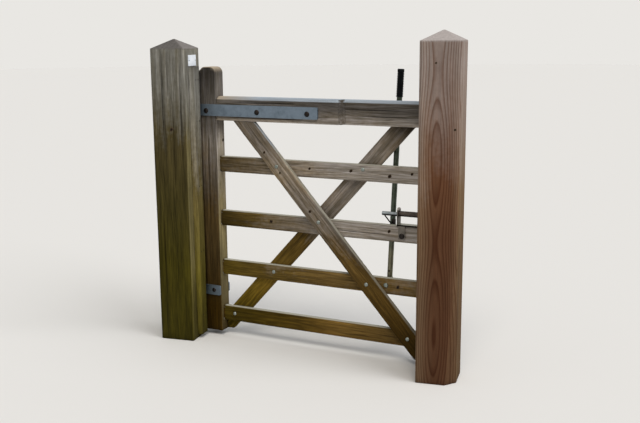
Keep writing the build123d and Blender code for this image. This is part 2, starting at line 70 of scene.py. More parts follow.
ahead = Vector((sin(YAW) * cos(PITCH), cos(YAW) * cos(PITCH), -sin(PITCH)))
level_right = Vector((cos(YAW), -sin(YAW), 0))
level_up = level_right.cross(ahead)
right = cos(ROLL) * level_right + sin(ROLL) * level_up
up = cos(ROLL) * level_up - sin(ROLL) * level_right

camera = bpy.data.objects.new("camera", bpy.data.cameras.new("camera"))
camera.data.sensor_width = SENSOR_MM
camera.data.sensor_fit = "HORIZONTAL"
camera.data.lens = FOCAL_PIXELS * SENSOR_MM / IMAGE_WIDTH
turn = Matrix((right, up, -ahead)).transposed().to_4x4()
camera.matrix_world = Matrix.Translation(STAND) @ turn
scene.collection.objects.link(camera)
scene.camera = camera
print("lens", round(camera.data.lens, 2), "mm")

# %% [markdown]
# ## Adding nodes
#
# A material is a small network of nodes. It could be wired by hand in the editor, but then it can't be read.
# These helpers add a node and fill its sockets with values or links, so each material reads as a list.

# %% Colour and node helpers
MIX_BY, MIX_UNDER, MIX_OVER, MIX_RESULT = 0, 6, 7, 2  # the Mix node's sockets for colours
SIGNS = {"+": "ADD", "-": "SUBTRACT", "*": "MULTIPLY", "/": "DIVIDE"}


def linear(code):
    """An sRGB hex colour as the linear numbers that a shader works in."""
    channels = [int(code[i : i + 2], 16) / 255 for i in (1, 3, 5)]
    return [c / 12.92 if c <= 0.04045 else ((c + 0.055) / 1.055) ** 2.4 for c in channels] + [1.0]


def add(kind, sockets=(), give=0, **options):
    """Adds a node to the tree in hand and gives back one of its outputs, or all of it if give is None.

    A tuple fills the sockets in order and a dict by name or number, with values or other nodes' outputs.
    """
    node = tree.nodes.new("ShaderNode" + kind)
    for name, value in options.items():
        setattr(node, name, value)
    for name, value in (sockets if isinstance(sockets, dict) else dict(enumerate(sockets))).items():
        if isinstance(value, bpy.types.NodeSocket):
            tree.links.new(value, node.inputs[name])
        else:
            node.inputs[name].default_value = value
    return node if give is None else node.outputs[give]


def maths(sign, *values):
    """One step of arithmetic, by its sign or by the node's own name for it."""
    return add("Math", values, operation=SIGNS.get(sign, sign))


def vectors(sign, *values):
    """The same with directions."""
    return add("VectorMath", values, operation=SIGNS[sign])


def blend(factor, under, over, how="MIX"):
    """Lays one colour over another by a factor."""
    sockets = {MIX_BY: factor, MIX_UNDER: under, MIX_OVER: over}
    return add("Mix", sockets, MIX_RESULT, data_type="RGBA", blend_type=how)


def ramp(value, stops):
    """A grey level or a colour from a number, by stops of (place, grey level or hex colour)."""
    node = add("ValToRGB", (value,), None)
    for index, (place, level) in enumerate(stops):
        step = node.color_ramp.elements[index] if index < 2 else node.color_ramp.elements.new(place)
        step.position = place
        step.color = linear(level) if isinstance(level, str) else [level, level, level, 1.0]
    return node.outputs[0]


def new_material(name, sockets):
    """A material whose Principled shader has these values on its own sockets. Its tree is wired next."""
    global tree
    material = bpy.data.materials.new(name)
    material.use_nodes = True
    tree = material.node_tree
    shader = next(n for n in tree.nodes if n.type == "BSDF_PRINCIPLED")
    for socket, value in sockets.items():
        shader.inputs[socket].default_value = value
    return material, shader


# %% [markdown]
# ## Light and floor
#
# The gate stands in a plain studio. A picture of a sky could light it, but would tint it. So the light is
# even all round, with one very large soft lamp high on the right, which makes tops and the sides towards
# the latch paler, and a smaller one in front.

# %% Floor, world and lamps
FLOOR_RADIUS = 40.0
FLOOR_SIDES = 64
FLOOR_DROP = 0.5 * MM  # just below the posts' feet
DOME_STRENGTH = 0.45

# Dead matt, so that it is as pale from every side
floor_look = {"Base Color": linear("#e2e0dc"), "Roughness": 0.9, "Specular IOR Level": 0.0}
floor_mesh = bpy.data.meshes.new("floor")
angles = [side * tau / FLOOR_SIDES for side in range(FLOOR_SIDES)]
rim = [(FLOOR_RADIUS * cos(angle), FLOOR_RADIUS * sin(angle), 0) for angle in angles]
floor_mesh.from_pydata(rim, [], [list(range(FLOOR_SIDES))])
floor = bpy.data.objects.new("floor", floor_mesh)
floor.location.z = -FLOOR_DROP
scene.collection.objects.link(floor)
floor_mesh.materials.append(new_material("floor_paint", floor_look)[0])

world = bpy.data.worlds.new("studio")
world.use_nodes = True
scene.world = world
tree = world.node_tree
tree.nodes.clear()
rays = add("LightPath", give=None).outputs
seen = maths("+", rays["Is Camera Ray"], rays["Is Glossy Ray"])
height = add("SeparateXYZ", (add("TexCoord", give="Generated"),), "Z")
dome = ramp(height, [(0.0, "#b4b0aa"), (0.5, "#dfe3e8")])
light = add("Background", {"Color": dome, "Strength": DOME_STRENGTH})
shown = add("Background", {"Color": linear("#e9e7e3"), "Strength": 1.0})
either = add("MixShader", (seen, light, shown))
add("OutputWorld", {"Surface": either}, None)


def soft_sun(name, source, strength, spread_degrees, colour):
    """A very wide sun lamp, soft like a big studio lamp."""
    data = bpy.data.lights.new(name, "SUN")
    data.angle = radians(spread_degrees)
    data.energy = strength
    data.color = linear(colour)[:3]
    lamp = bpy.data.objects.new(name, data)
    lamp.rotation_euler = Vector(source).to_track_quat("Z", "Y").to_euler()
    scene.collection.objects.link(lamp)


soft_sun("lamp_overhead", (1.0, -0.15, 0.9), 1.9, 45, "#fbfcff")
soft_sun("lamp_front", (0.25, -0.62, 1.0), 1.3, 28, "#fff9f0")
scene.view_settings.view_transform = "Standard"
print("lamps", len(bpy.data.lights))

# %% [markdown]
# ## Softwood
#
# A log is a set of nested, slightly crooked cones of yearly growth, and a sawn face shows the cut through
# them, with long tongues in the middle. Lines painted on each face wouldn't meet at the corners. So the
# material measures how far a point is from the log's centre line. Each board carries an attribute named
# grain, its own across, through and along, so one material serves boards that run any way.

# %% Patterns that follow the grain
# Each pattern's width and length in metres
RIPPLE = (1 / 22, 1 / 1.3)  # a ring wavers over 45 mm
FIBRE = (1 / 560, 1 / 14)  # bundles of fibres 1.8 mm wide
STREAK = (1 / 95, 1 / 4)  # grey streaks 10 mm wide
BAND = (1 / 24, 1 / 2.2)  # light and dark bands 40 mm wide
PATCH = 1 / 6  # damp comes in patches the size of a hand
BLOTCH = 1 / 55  # and in blotches of algae 18 mm across


def streaks(grain, size, detail=3.0, roughness=0.6):
    """Noise that is drawn out along the grain."""
    width, length = size
    at = vectors("*", grain, (1 / width, 1 / width, 1 / length))
    return add("TexNoise", {"Vector": at, "Scale": 1.0, "Detail": detail, "Roughness": roughness})


def read_board():
    """What each point of a board says about itself, and the patterns there."""
    board = SimpleNamespace(grain=add("Attribute", give="Vector", attribute_name="grain"))
    board.crack, board.tone, board.soak = (
        add("Attribute", give="Fac", attribute_name=name) for name in ("crack", "tone", "soak")
    )
    facing = add("Attribute", give="Vector", attribute_name="facing")
    board.facing = add("SeparateXYZ", (facing,), None).outputs
    place = add("TexCoord", give="Object")
    board.spot = add("SeparateXYZ", (place,), None).outputs
    board.fibre = streaks(board.grain, FIBRE)
    board.streak = streaks(board.grain, STREAK, 4.0, 0.7)
    board.band = streaks(board.grain, BAND)
    board.patch = add("TexNoise", {"Vector": place, "Scale": 1 / PATCH, "Detail": 3.0})
    board.blotch = add("TexNoise", {"Vector": place, "Scale": 1 / BLOTCH, "Detail": 3.0})
    return board


# %% [markdown]
# In spring a tree grows pale, open wood, and in autumn a thin dark line, which weather leaves proud. A sine
# wave would be as soft on both sides of it. A colour ramp over each year rises slowly and ends suddenly.

# %% Yearly rings
RING = 6 * MM  # one year's growth in this fast-grown timber
TONGUE_MIDDLE = 1.02  # height of the long oval figure on the newer post
TONGUE_LENGTH = 0.78
SWAY_SCALE = 1.5  # bends in a metre of the log's centre line
YEAR = [(0.0, 0.0), (0.4, 0.1), (0.82, 1.0), (0.98, 0.0)]  # from spring to the end of autumn


def yearly_rings(board, look):
    """How much of a point is dark autumn growth."""
    along = add("SeparateXYZ", (board.grain,), "Z")
    bend = {"W": along, "Scale": SWAY_SCALE, "Detail": 1.0}
    bend = add("TexNoise", bend, "Color", noise_dimensions="1D")
    bend = vectors("*", vectors("-", bend, (0.5, 0.5, 0.5)), (look.sway, look.sway, 0))
    log = vectors("+", vectors("*", board.grain, (1, 1, 0)), bend)

    # The log bulges towards the face, which closes a tongue into an oval
    bulge = maths("-", board.spot["Z"], TONGUE_MIDDLE)
    bulge = maths("COSINE", maths("*", bulge, tau / TONGUE_LENGTH))
    bulge = add("CombineXYZ", {"Y": maths("*", bulge, look.tongue)})
    log = vectors("+", log, bulge)

    radius = add("VectorMath", (log,), "Value", operation="LENGTH")
    radius = maths("MULTIPLY_ADD", streaks(board.grain, RIPPLE, 1.0), look.ripple, radius)
    return ramp(maths("FRACT", maths("*", radius, 1 / look.ring)), YEAR)


# %% [markdown]
# Damp rises from the ground and, on the leaf, spreads from the heel, where the stile holds water. A straight
# gradient would look sprayed on, so the patterns decide where damp runs ahead.

# %% Where damp has been
HEEL_EDGE = 0.19  # the rails start here
HEEL_DAMP_RISE = 2.2  # damp climbs this many times higher at the heel
HEAD_FADE = 1.5  # the ground stain fades out this far along the leaf
POST_WIDTH = 0.175
POST_EDGE = 0.08  # from the centre line of the newer post's log to its left edge
SAPWOOD = [(0.0, 1.0), (0.12, 0.75), (0.28, 0.3), (0.45, 0.05), (0.8, 0.1), (0.95, 0.45)]  # across that post
UNEVEN_LEVEL = 1.15  # the patterns' usual sum


def outer_wood(board):
    """How much of a point on the newer post is the damp outer wood."""
    across = maths("/", maths("+", add("SeparateXYZ", (board.grain,), "X"), POST_EDGE), POST_WIDTH)
    return ramp(maths("MULTIPLY_ADD", maths("-", board.band, 0.5), 0.2, across), SAPWOOD)


def fading(distance, limit):
    """One at no distance, and nothing at the limit."""
    return maths("-", 1.0, maths("/", distance, limit))


def read_damp(board, look):
    """How stained each point is, and how much of that comes from the heel, the foot and the outer wood."""
    x, z = board.spot["X"], board.spot["Z"]
    reach, depth = look.damp
    heel_reach, heel_strength = look.heel
    damp = SimpleNamespace(outer=outer_wood(board) if look.sapwood else None)
    low = maths("/", maths("-", reach, z), depth)
    near = heel_strength
    for distance, limit in ((z, HEEL_DAMP_RISE * reach), (x, heel_reach)):
        near = maths("*", maths("MAXIMUM", fading(distance, limit), 0.0), near)
    damp.heel = near

    uneven = -UNEVEN_LEVEL
    for pattern, share in ((board.band, 1.1), (board.patch, 0.7), (board.blotch, 0.5)):
        uneven = maths("MULTIPLY_ADD", pattern, share, uneven)
    uneven = maths("*", uneven, look.patchy)
    if look.sapwood:
        uneven = maths("MULTIPLY_ADD", maths("-", 0.65, damp.outer), 0.3, uneven)
    wet = maths("+", maths("MAXIMUM", low, near), maths("+", uneven, board.soak))
    damp.stained = ramp(wet, [(0.0, 0.0), (0.95, 1.0)])
    foot = ramp(maths("/", z, reach), [(0.25, 1.0), (0.75, 0.0)])
    damp.foot = maths("+", maths("*", foot, fading(x, HEAD_FADE)), board.soak)
    return damp


def stain_colour(board, damp, look):
    """The colour that damp leaves at each point, paler where painted light falls on the side towards the
    light.
    """
    high_up, ground, heel_side, painted_lit_stain = (linear(stain) for stain in look.stains)
    stain = blend(damp.foot, high_up, ground)
    past_heel = maths("GREATER_THAN", board.spot["X"], HEEL_EDGE)
    past_heel = maths("*", damp.heel, maths("*", past_heel, 0.6))
    stain = blend(past_heel, stain, heel_side)
    if look.sapwood:
        stain = blend(damp.outer, stain, linear(look.sapwood))
    # painted light: the side towards the light takes a paler stain, less so where the foot is damp
    dry = maths("-", 1.0, maths("*", damp.foot, 0.5))
    return blend(maths("*", board.facing["Z"], dry), stain, painted_lit_stain)


# %% [markdown]
# Sun and rain turn sawn softwood grey in streaks, darken the autumn growth and bleach what faces the sky.
# One flat brown with a bump would look like plastic. So the colour is built in the order in which the real
# one came: wood, grey skin, stain, rings, fibres, then painted light and cracks. The painted light makes
# the sides towards the light paler, and gives upward faces a top colour that is partly bleaching and
# partly painted sky light.

# %% The softwood material
# near-black at a crack's bottom: dirt, and painted shade in the recess
CRACK_COLOUR = "#15100b"
TOP_COVER = 0.9  # how much of an upward face takes the top colour, partly bleaching and partly painted sky light
PLAIN_WOOD = {
    "heel": (1.0, 0.0), "sway": 0.04, "ripple": 0.012, "tongue": 0.0, "ring": RING, "patchy": 1.0,
    "sapwood": None,
}


def bleached_and_sky_lit_top(board, look):
    """The colour of an upward face: partly bleaching and partly painted sky light.
    A pyramid top's slope towards the light is painted paler still, which is painted light.
    """
    low, near_heel, high = (linear(top) for top in look.tops)
    high = blend(ramp(board.spot["X"], [(0.2, 0.0), (0.42, 1.0)]), near_heel, high)
    top = blend(ramp(board.spot["Z"], [(0.95, 0.0), (1.05, 1.0)]), low, high)
    top = blend(1.0, top, ramp(board.streak, [(0.3, 0.8), (0.6, 1.05)]), "MULTIPLY")
    return add("VectorMath", {0: top, 3: maths("+", board.facing["X"], 1.0)}, operation="SCALE")


def softwood(name, **look):
    """Sawn softwood that has stood outdoors.

    wood and latewood are spring and autumn growth, and rings is their contrast. weather is the grey skin's
    (colour, most). stains are what damp leaves high up, near the ground and near the heel, and then a paler
    stain painted on the side towards the light, which is painted light. damp is (height reached, depth over
    which it comes in), and heel is (reach, strength) along the leaf. tops are the colours of upward faces:
    low, high up near the heel, and beyond it; they are partly bleaching and partly painted sky light. sunny
    is how much paler the side towards the light is painted, which is painted light. tones are the contrasts
    of fibres, streaks and bands. sway and ripple bend the rings, and tongue is how far the log bulges. ring
    is a year's growth, patchy is how unevenly damp comes in, and sapwood is the colour of the outer wood,
    which takes less stain.
    """
    look = SimpleNamespace(**{**PLAIN_WOOD, **look})
    # Open fibres trap nearly all of the surface gloss
    material, shader = new_material(name, {"IOR": 1.5, "Specular IOR Level": 0.05})
    board = read_board()
    autumn = yearly_rings(board, look)
    damp = read_damp(board, look)

    grey, most = look.weather
    skin = ramp(board.streak, [(0.38, 0.0), (0.58, most)])
    colour = blend(skin, linear(look.wood), linear(grey))
    colour = blend(damp.stained, colour, stain_colour(board, damp, look))

    # Autumn growth is darker through every stain; then light and dark fibres
    darker = [a / b for a, b in zip(linear(look.latewood)[:3], linear(look.wood)[:3])] + [1.0]
    dark = blend(maths("*", autumn, look.rings), [1.0] * 4, darker)
    colour = blend(1.0, colour, dark, "MULTIPLY")
    for pattern, contrast in zip((board.fibre, board.streak, board.band), look.tones):
        tone = ramp(pattern, [(0.3, 1 - contrast), (0.66, 1 + contrast / 3)])
        colour = blend(1.0, colour, tone, "MULTIPLY")

    # The board's own tone, painted light on the sides towards the light, tops that are partly bleached and
    # partly painted sky light, and dark cracks
    own = maths("*", board.tone, maths("MULTIPLY_ADD", board.facing["Z"], look.sunny, 1.0))
    colour = add("VectorMath", {0: colour, 3: own}, operation="SCALE")
    colour = blend(maths("*", board.facing["Y"], TOP_COVER), colour, bleached_and_sky_lit_top(board, look))
    colour = blend(board.crack, colour, linear(CRACK_COLOUR))
    tree.links.new(colour, shader.inputs["Base Color"])

    relief = maths("MULTIPLY_ADD", autumn, 0.5, maths("+", board.fibre, board.streak))
    relief = add("Bump", {"Height": relief, "Distance": 0.9 * MM, "Strength": 0.9})
    tree.links.new(relief, shader.inputs["Normal"])
    tree.links.new(ramp(board.streak, [(0.3, 0.72), (0.7, 0.95)]), shader.inputs["Roughness"])
    return material


# %% [markdown]
# The hanging post is the oldest, grey with a green skin. The shutting post is newer and still has the
# red-brown of its treatment. The leaf is grey-brown, and olive towards the heel and the foot. Three
# materials could be wired apart, but they age in the same way, so one function makes them.

# %% Three softwoods
weathered_post = softwood(
    "weathered_softwood_post",
    wood="#8b887d", latewood="#6b665a", rings=0.5, weather=("#8d8c88", 0.6),
    stains=("#544a30", "#504916", "#504916", "#766d4b"), damp=(1.3, 0.42),
    tops=("#575351",) * 3, sunny=0.75, tones=(0.4, 0.5, 0.35),
)
new_post = softwood(
    "treated_softwood_post",
    wood="#a89c95", latewood="#755a4b", rings=0.8, weather=("#a89a92", 0.35),
    stains=("#6b4630", "#413122", "#413122", "#735c40"), damp=(1.40, 0.75),
    tops=("#b9b1ad",) * 3, sunny=0.2, tones=(0.22, 0.16, 0.12),
    ripple=0.004, sway=0.016, tongue=0.009, patchy=0.45, sapwood="#8c7359", ring=7.5 * MM,
)
leaf_timber = softwood(
    "weathered_softwood_leaf",
    wood="#a29889", latewood="#7d7261", rings=0.5, weather=("#a6a09e", 0.7),
    stains=("#7c653d", "#5e440d", "#5f4f17", "#7d7150"), damp=(0.62, 0.32), heel=(0.8, 2.6),
    # the blue-grey top colour beyond the heel is a painted reflection of the sky
    tops=("#b4b2a4", "#b8a892", "#abb6c0"), sunny=0.9, tones=(0.45, 0.55, 0.3),
)
print("softwoods", weathered_post.name, new_post.name, leaf_timber.name)

# %% [markdown]
# ## Boards with real surfaces
#
# A sawn board has bruised arrises, faces that wave a little, and cracks along the grain. A bump map can't
# change an outline or cast a shadow, so these are modelled. First the CAD mesh is cut into a grid, for the
# wear to move, and each crack gets three cuts side by side.

# %% Cut a board into a grid
CELL_ALONG = 16 * MM
CELL_ACROSS = 11 * MM
ARRIS_CUT = 3.5 * MM  # the outermost cuts run this close to the arrises
CRACK_ROOM = 5 * MM  # no other cut along the grain is this close to a crack


def ends(mesh, axis):
    """Where a mesh starts and where it ends along an axis."""
    reach = [v.co.dot(axis) for v in mesh.verts]
    return min(reach), max(reach)


def spread(low, high, cell):
    """Cutting places between two ends, with one close to each end."""
    count = max(1, round((high - low - 2 * ARRIS_CUT) / cell))
    step = (high - low - 2 * ARRIS_CUT) / count
    return [low + ARRIS_CUT + step * i for i in range(count + 1)]


def cut(mesh, faces, normal, distance):
    """Cuts faces by the plane at a distance along a normal."""
    geometry = list({part for face in faces for part in (face, *face.edges, *face.verts)})
    bmesh.ops.bisect_plane(mesh, geom=geometry, dist=1e-7, plane_co=normal * distance, plane_no=normal)


def grid_mesh(name, axes, cracks):
    """A CAD board's mesh with its grid and its cracks cut in."""
    across, through, along = axes
    mesh = bmesh.new()
    mesh.from_mesh(nodes[name].data)
    bmesh.ops.remove_doubles(mesh, verts=mesh.verts, dist=1e-6)
    bmesh.ops.dissolve_limit(mesh, angle_limit=radians(0.5), verts=mesh.verts, edges=mesh.edges)
    for axis, cell in ((along, CELL_ALONG), (across, CELL_ACROSS), (through, CELL_ACROSS)):
        for place in spread(*ends(mesh, axis), cell):
            if axis is across and any(abs(place - crack[1]) < CRACK_ROOM for crack in cracks):
                continue
            cut(mesh, mesh.faces, axis, place)
    for side, middle, start, end, width, depth in cracks:
        for offset in (-width, 0, width):
            faces = [
                f for f in mesh.faces
                if f.normal.dot(through * side) > 0.95 and start < f.calc_center_median().dot(along) < end
            ]
            cut(mesh, faces, across, middle + offset)
    mesh.normal_update()
    return mesh


# %% [markdown]
# One smooth bevel would be as regular as the clean block was. So noise in space decides how far each vertex
# of an arris is drawn in. A crack's middle cut is pushed in, and its sides close at its ends.

# %% Wear the arrises and open the cracks
ARRIS_ANGLE = 0.5  # radians; an edge that turns more than this is an arris
FACE_WAVE = 0.5  # mm
ARRIS_WEAR, BRUISE = 0.7, 3.0  # mm that every arris loses, and the most that a bruise adds
WAVES_ACROSS, WAVES_ALONG = 9, 3  # a metre
BRUISES = (26, 90)  # a metre: dents, and the roughness in them


def move_surface(mesh, axes):
    """How far each vertex moves: every face waves, and arrises are drawn in by an uneven amount."""
    bends = [e for e in mesh.edges if len(e.link_faces) == 2 and e.calc_face_angle(0) > ARRIS_ANGLE]
    arris = {v for edge in bends for v in edge.verts}
    moves = {}
    for v in mesh.verts:
        place = [v.co.dot(axis) for axis in axes]
        wave = noise.noise(Vector((place[0] * WAVES_ACROSS, place[1] * WAVES_ACROSS, place[2] * WAVES_ALONG)))
        moves[v] = v.normal * (wave * FACE_WAVE * MM)
        if v in arris:
            bruise = sum(noise.noise(v.co * scale) * 0.5 for scale in BRUISES)
            moves[v] -= v.normal * (ARRIS_WEAR + max(0.0, bruise) * BRUISE) * MM
    return moves


def open_cracks(mesh, moves, axes, cracks):
    """Adds the cracks to the moves, and gives back how open a crack is at each vertex."""
    across, through, along = axes
    opened = {}
    for side, middle, start, end, width, depth in cracks:
        inward = through * side
        for v in mesh.verts:
            off = v.co.dot(across) - middle
            share = (v.co.dot(along) - start) / (end - start)
            if abs(off) > 1.5 * width or not 0 < share < 1 or v.normal.dot(inward) < 0.9:
                continue
            taper = min(1.0, 4 * share, 4 * (1 - share))
            if abs(off) < 1e-5:
                moves[v] -= inward * depth * taper
                opened[v] = taper
            else:
                moves[v] -= across * off * (1 - taper)
    return [opened.get(v, 0.0) for v in mesh.verts]


def swell_corner(mesh, moves, axes, swell):
    """Moves the front corner of a board's low edge outward, as damp does."""
    across, through, _ = axes
    edge = ends(mesh, across)[0]
    middle = sum(v.co.dot(through) for v in mesh.verts) / len(mesh.verts)
    for v in mesh.verts:
        if v.co.dot(across) < edge + 1.2 * ARRIS_CUT and v.co.dot(through) < middle:
            moves[v] = moves[v] - across * swell


# %% [markdown]
# Each vertex tells the material its place in the log, whether it looks up or to the light, and how cracked,
# pale and damp it is. A picture wrapped round the board could hold that, but would need unwrapping.

# %% Write on a board what its material reads
DIRTY_OR_SHADED_END = 12 * MM  # darker where a board ends: dirt and damp, and painted shade where a brace's top ends under the top rail
END_DIRT_AND_SHADE, CUT_GRAIN_DIRT = 0.35, 0.25
ATTRIBUTES = {
    "grain": "FLOAT_VECTOR", "facing": "FLOAT_VECTOR", "crack": "FLOAT", "tone": "FLOAT", "soak": "FLOAT",
}


def level_at(levels, share):
    """Reads a level off a list of levels that are spread evenly from a board's start to its end."""
    place = min(max(share, 0.0), 1.0) * (len(levels) - 1)
    step = min(int(place), len(levels) - 2)
    return levels[step] + (levels[step + 1] - levels[step]) * (place - step)


def read_facing(mesh, along, crown):
    """How much each vertex shows cut grain, leans to the light on a pyramid top, and looks up or sideways."""
    facing = []
    for v in mesh.verts:
        cut_grain = min(1.0, 2.5 * abs(v.normal.dot(along)))
        sheltered = cut_grain == 1.0 and along.z < 0.9  # the end of a lying board
        slope = crown * max(0.0, v.normal.x) if v.normal.z > 0.5 else 0.0
        upward = 0.0 if sheltered else max(0.0, v.normal.z) ** 1.3
        facing.append((cut_grain, slope, upward, max(0.0, v.normal.x) ** 6))
    return facing


def write_board(data, axes, box, log, facing, cracked, look):
    """Fills a board's attributes. box holds its two ends across and its two ends along."""
    across, _, along = axes
    (edge, far_edge), (start, end) = box
    for attribute, kind in ATTRIBUTES.items():
        data.attributes.new(attribute, kind, "POINT")
    grain, faced, opened, shade, soaked = (data.attributes[attribute].data for attribute in ATTRIBUTES)
    for i, v in enumerate(data.vertices):
        own = v.co - look.centre
        grain[i].vector = [own.dot(axis) + offset for axis, offset in zip(axes, log)]
        opened[i].value = cracked[i]
        share = (v.co.dot(along) - start) / (end - start)
        cut_grain, slope, upward, sideways = facing[i]
        faced[i].vector = (slope, upward, sideways * level_at(look.lit, share))
        inside = max(min(v.co.dot(along) - start, end - v.co.dot(along)), 0.0)
        clean_and_unshaded = (1 - END_DIRT_AND_SHADE * exp(-inside / DIRTY_OR_SHADED_END)) * (1 - CUT_GRAIN_DIRT * cut_grain)
        lower = 1 - (v.co.dot(across) - edge) / (far_edge - edge)
        paler = 1 + (look.low_edge - 1) * min(1.0, max(0.0, 2.6 * lower - 1.3))
        shade[i].value = level_at(look.tone, share) * clean_and_unshaded * paler
        soaked[i].value = level_at(look.soak, share)


# %% [markdown]
# A worn board could lie over the CAD one, but the two would show through each other. So it takes the
# node's place, on the same body.

# %% Replace a board by its worn copy
PLAIN_BOARD = {
    "tone": (1.0, 1.0), "soak": (0.0, 0.0), "lit": (1.0, 1.0), "low_edge": 1.0, "swell": 0.0, "crown": 0.0,
}


def new_piece(name, mesh, material, smooth):
    """Turns a mesh into an object with its finish. Edges sharper than smooth degrees stay sharp."""
    data = bpy.data.meshes.new(name)
    mesh.to_mesh(data)
    mesh.free()
    data.polygons.foreach_set("use_smooth", [True] * len(data.polygons))
    data.set_sharp_from_angle(angle=radians(smooth))
    data.materials.append(material)
    piece = bpy.data.objects.new(name, data)
    scene.collection.objects.link(piece)
    return piece


def wear_board(name, body, slot, material, across, along, log, cracks=(), **look):
    """Replaces a CAD board by a finely cut copy with worn arrises, uneven faces and cracks.

    log is where the board's middle was in its log. A crack is (side, place across, start and end along,
    width, depth). tone, soak and lit are levels from start to end; tone holds the board's own tone and
    painted shade and light where it stands, and lit is how much paler the side towards the light is
    painted, which is painted light. low_edge is how much paler the lower edge is, swell is how far damp has
    pushed out the front corner, and crown is how much paler a pyramid top's slope towards the light is
    painted, which is painted light.
    """
    look = SimpleNamespace(**{**PLAIN_BOARD, **look})
    look.centre = sum((Vector(corner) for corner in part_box(name)), Vector()) / 2
    across, along = Vector(across).normalized(), Vector(along).normalized()
    axes = (across, along.cross(across), along)
    mesh = grid_mesh(name, axes, cracks)
    facing = read_facing(mesh, along, look.crown)
    box = (ends(mesh, across), ends(mesh, along))
    moves = move_surface(mesh, axes)
    cracked = open_cracks(mesh, moves, axes, cracks)
    swell_corner(mesh, moves, axes, look.swell)
    for v, move in moves.items():
        v.co += move
    board = new_piece(name + "_timber", mesh, material, 35)
    write_board(board.data, axes, box, log, facing, cracked, look)
    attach(board, body)
    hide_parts(name)
    print(board.name, len(board.data.vertices), "vertices")


# %% [markdown]
# Random levels would do for a stack of timber, but these boards were soaked and rubbed where they hang,
# and their levels also hold painted shade and painted light from where they stand. The heel is dark at the
# foot and again at its head. So each has its own levels.

# %% Wear the posts and stiles
POST_TURN = radians(9.0)
POST_ACROSS = Vector((cos(POST_TURN), sin(POST_TURN), 0))
UP = Vector((0, 0, 1))
ALONG_LEAF = Vector((1, 0, 0))
POST_FRONT, RAIL_FRONT = -1, 1  # the side of a crack that faces the viewer, on an upright and on a rail

OLD = ("posts", "weathered_post", weathered_post)
NEW = ("posts", "new_post", new_post)
LEAF = ("leaf", "leaf_timber", leaf_timber)

post_cracks = [
    (POST_FRONT, -0.032, 0.98, 1.44, 2.6 * MM, 12 * MM),
    (POST_FRONT, -0.004, 1.22, 1.45, 1.8 * MM, 8 * MM),
    (POST_FRONT, 0.021, 0.72, 1.20, 1.8 * MM, 8 * MM),
    (POST_FRONT, 0.062, 0.90, 1.38, 2.0 * MM, 8 * MM),
    (POST_FRONT, -0.050, 0.25, 0.66, 1.8 * MM, 8 * MM),
]
heel_cracks = [(POST_FRONT, 0.136, 0.55, 1.02, 1.8 * MM, 7 * MM)]
# The heel's tone: darker low down, where it is damp, and from under the top rail up to its head, which is
# painted shade of the post and strap
HEEL_TONE = (0.45, 0.44, 0.42, 0.42, 0.42, 0.46, 0.55, 0.53, 0.55, 0.68, 0.95, 0.46, 0.44, 0.3, 0.15)

wear_board(
    "hanging_post", *OLD, POST_ACROSS, UP, (0.02, 0.03, 0.0), post_cracks,
    # lit and crown paint this post's side and its pyramid's slope towards the light paler: painted light
    tone=(0.72, 0.9, 0.88, 0.95, 1.05), soak=(0.1, 0.15), lit=(0.4, 0.6, 1.3, 1.0, 0.8, 0.6, 0.45, 0.6),
    crown=3.2,
)
wear_board(
    "closing_batten", *OLD, POST_ACROSS, UP, (0.1, 0.08, 2.0),
    # its tone is painted far lighter, painted light that offsets the shade of its corner by the post, and its
    # side towards the light is painted darker, a painted shadow of the gap beside it
    tone=(1.3, 2.2, 2.9, 4.1, 2.8, 1.7, 1.15), soak=(-0.1, -0.1), lit=(-0.3, -0.4),
)
wear_board(
    "shutting_post", *NEW, POST_ACROSS, UP, (0.008, 0.0375, 4.0),
    tone=(0.68, 0.71, 0.8, 1.0, 0.95, 0.87), soak=(0.1, 0.1),
)
wear_board(
    "hanging_stile", *LEAF, ALONG_LEAF, UP, (0.05, 0.06, 6.0), heel_cracks,
    # lit paints the heel's side towards the light paler, painted light, and less so under the top rail,
    # painted shade
    tone=HEEL_TONE, soak=(0.05, 0.0, -0.3, -0.1), lit=(0.8, 2.0, 2.8, 1.9, 0.55, 1.3), swell=4.5 * MM,
)
wear_board("shutting_stile", *LEAF, ALONG_LEAF, UP, (-0.04, 0.05, 8.0), tone=(0.8, 0.7))

# %% [markdown]
# The rails lie and the braces slope. They could be worn upright and turned, but the function takes any
# direction. Each has its own place in a log, or the same lines would run on from board to board.

# %% Wear the rails and braces
top_rail_cracks = [
    (RAIL_FRONT, 1.172, 0.83, 1.16, 1.8 * MM, 7 * MM),
    (RAIL_FRONT, 1.143, 0.93, 1.22, 1.8 * MM, 7 * MM),
    (RAIL_FRONT, 1.190, 0.30, 0.62, 1.6 * MM, 6 * MM),
    (RAIL_FRONT, 1.1200, 0.17, 0.75, 5.5 * MM, 1.5 * MM),  # a wide shallow groove painted dark under the strap: painted shadow of the strap
]
rail_3_cracks = [(RAIL_FRONT, 0.604, 0.84, 1.10, 1.5 * MM, 6 * MM)]
